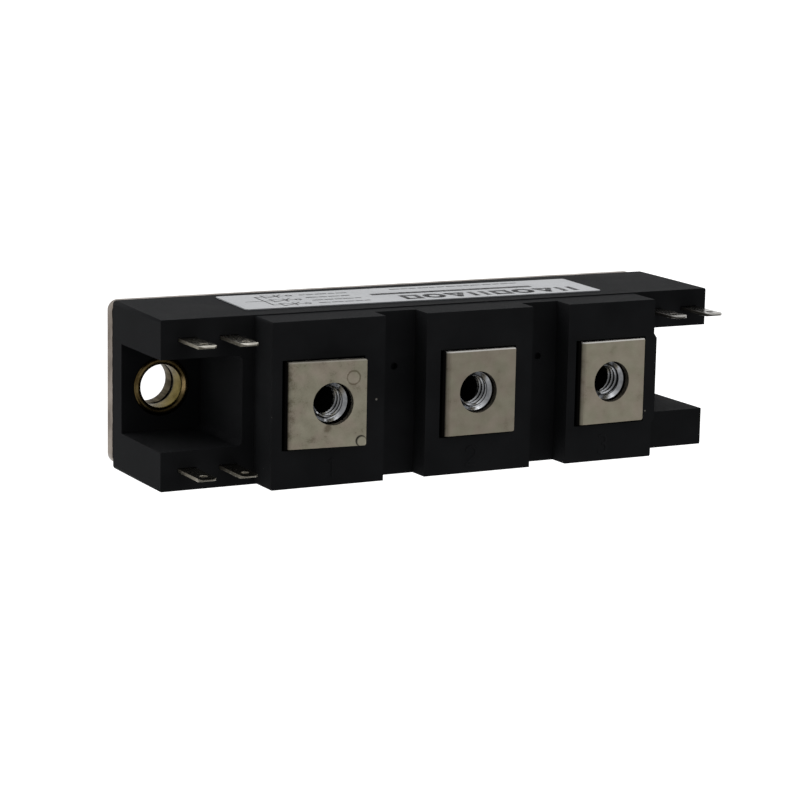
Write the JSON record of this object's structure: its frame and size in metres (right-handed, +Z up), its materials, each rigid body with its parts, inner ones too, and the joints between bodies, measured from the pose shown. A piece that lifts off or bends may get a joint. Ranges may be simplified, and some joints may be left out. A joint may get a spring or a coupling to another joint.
{
  "type": "thyristor module",
  "caption": "Thyristor power module: black moulded housing on a metal base plate, with bolt terminals on towers, push-on tabs on the arms and end notches for mounting screws.",
  "frame": {"origin": "centre of the base plate's underside, midway between the mounting holes", "axes": "+X along the housing from the four-tab end to the two-tab end, +Y to the label side, +Z up from the base plate to the terminals"},
  "size_m": [0.0928, 0.0257, 0.0295],
  "materials": {
    "nickel_plate": "dull nickel plate on copper",
    "mould_black": "matte glass-filled moulding",
    "brass": "turned brass",
    "nickel_strap": "dull nickel plate on copper",
    "zinc_steel": "bright zinc plate on steel",
    "tinned_tab": "tin plate on brass",
    "molybdenum": "ground molybdenum",
    "silicon": "polished silicon",
    "sleeve_white": "silicone sleeve",
    "sleeve_red": "silicone sleeve",
    "gel": "soft silicone potting",
    "epoxy": "hard epoxy potting",
    "label_white": "white sticker"
  },
  "bodies": {
    "root": {"base_plate": "nickel_plate", "housing": "mould_black", "left_bush": "brass", "right_bush": "brass", "silicone_gel": "gel", "epoxy_fill": "epoxy", "label": "label_white", "terminal_strap_1": "nickel_strap", "terminal_nut_1": "zinc_steel", "gate_tab_1": "tinned_tab", "cathode_tab_1": "tinned_tab", "anode_buffer_1": "molybdenum", "thyristor_chip_1": "silicon", "cathode_buffer_1": "molybdenum", "gate_lead_1": "sleeve_white", "cathode_lead_1": "sleeve_red", "terminal_strap_2": "nickel_strap", "terminal_nut_2": "zinc_steel", "gate_tab_2": "tinned_tab", "cathode_tab_2": "tinned_tab", "anode_buffer_2": "molybdenum", "thyristor_chip_2": "silicon", "cathode_buffer_2": "molybdenum", "gate_lead_2": "sleeve_white", "cathode_lead_2": "sleeve_red", "terminal_strap_3": "nickel_strap", "terminal_nut_3": "zinc_steel", "gate_tab_3": "tinned_tab", "cathode_tab_3": "tinned_tab", "anode_buffer_3": "molybdenum", "thyristor_chip_3": "silicon", "cathode_buffer_3": "molybdenum", "gate_lead_3": "sleeve_white", "cathode_lead_3": "sleeve_red"}
  },
  "joints": []
}
